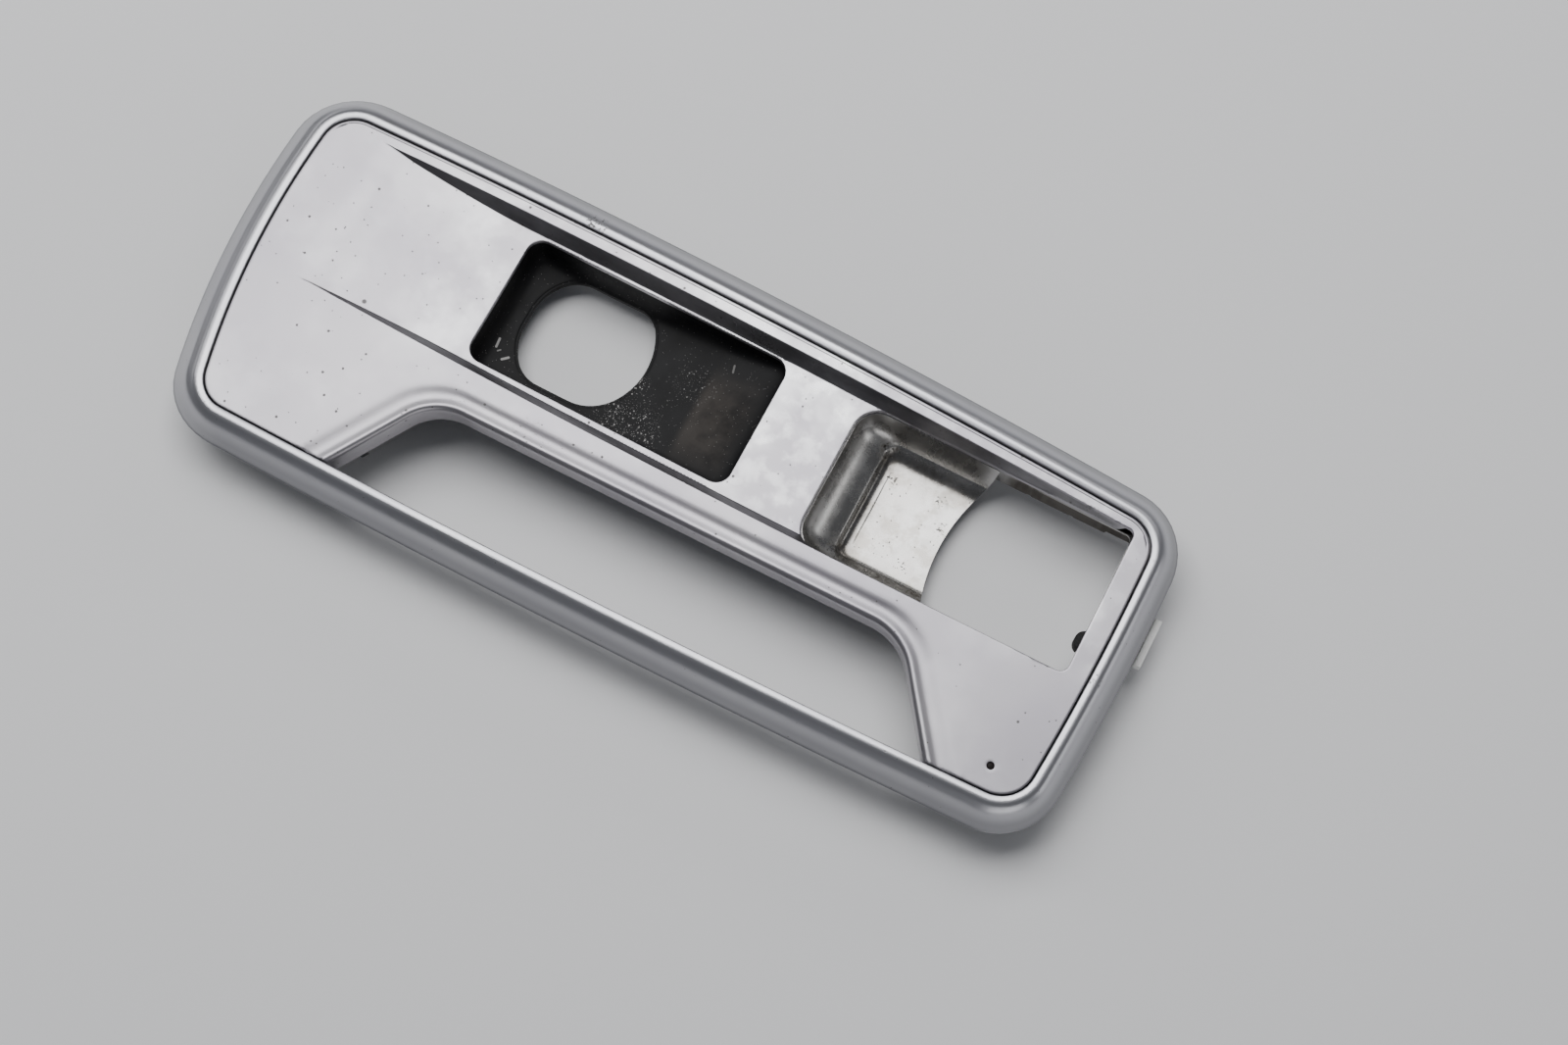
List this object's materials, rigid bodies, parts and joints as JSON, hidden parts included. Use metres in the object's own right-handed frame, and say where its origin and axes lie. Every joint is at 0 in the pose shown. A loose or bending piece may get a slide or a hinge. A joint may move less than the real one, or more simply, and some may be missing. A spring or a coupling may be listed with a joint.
{
  "type": "door pull bezel",
  "caption": "Car door pull bezel: satin surround with a grip rail, sunken inlay plate with a switch pocket and a release-lever opening, on a black carrier.",
  "frame": {"origin": "centre of the four fixing holes, on the plane of the fixing towers' end faces", "axes": "+X along the bezel towards the release-lever opening and the end tongue, +Y away from the pull rail, +Z out of the door towards the hand"},
  "size_m": [0.313, 0.1242, 0.0266],
  "materials": {
    "satin_silver": "satin silver paint on a moulded plastic surround",
    "satin_plate": "fine satin, lightly smudged",
    "black_liner": "fine-grained black moulding, dusty",
    "pressed_steel": "worn satin pressing with grime in the corners",
    "black_moulding": "glass-filled black nylon",
    "zinc_steel": "zinc-plated steel",
    "white_nylon": "white nylon",
    "natural_nylon": "natural nylon",
    "foam": "closed-cell foam",
    "zinc_screws": "zinc-plated pan head screws",
    "smoked_lens": "smoked clear plastic",
    "stop_rubber": "moulded rubber",
    "felt": "needled felt tape",
    "insert_brass": "knurled brass"
  },
  "bodies": {
    "bezel": {"surround": "satin_silver", "inlay_plate": "satin_plate", "switch_pocket": "black_liner", "finger_bowl": "pressed_steel", "carrier": "black_moulding", "rail_core": "zinc_steel", "tongue_cover": "black_moulding", "tongue_cover_screws": "zinc_screws", "surround_screws": "zinc_screws", "plate_screws": "zinc_screws", "pocket_screws": "zinc_screws", "bowl_screws": "zinc_screws", "rail_screws": "zinc_screws", "indicator_lens": "smoked_lens", "lens_ring": "zinc_steel", "bump_stop": "stop_rubber", "felt_strips": "felt", "fixing_inserts": "insert_brass"},
    "tongue": {"end_tongue": "white_nylon"},
    "left_clip": {"left_clip": "natural_nylon", "left_clip_washer": "foam"},
    "right_clip": {"right_clip": "natural_nylon", "right_clip_washer": "foam"}
  },
  "joints": [
    {"name": "tongue_slide", "type": "slide", "parent": "bezel", "child": "tongue", "axis": [1, 0, 0], "range_m": [-0.0025, 0]},
    {"name": "left_clip_float", "type": "slide", "parent": "bezel", "child": "left_clip", "axis": [1, 0, 0], "range_m": [-0.0012, 0.0012]},
    {"name": "right_clip_float", "type": "slide", "parent": "bezel", "child": "right_clip", "axis": [1, 0, 0], "range_m": [-0.0012, 0.0012]}
  ]
}
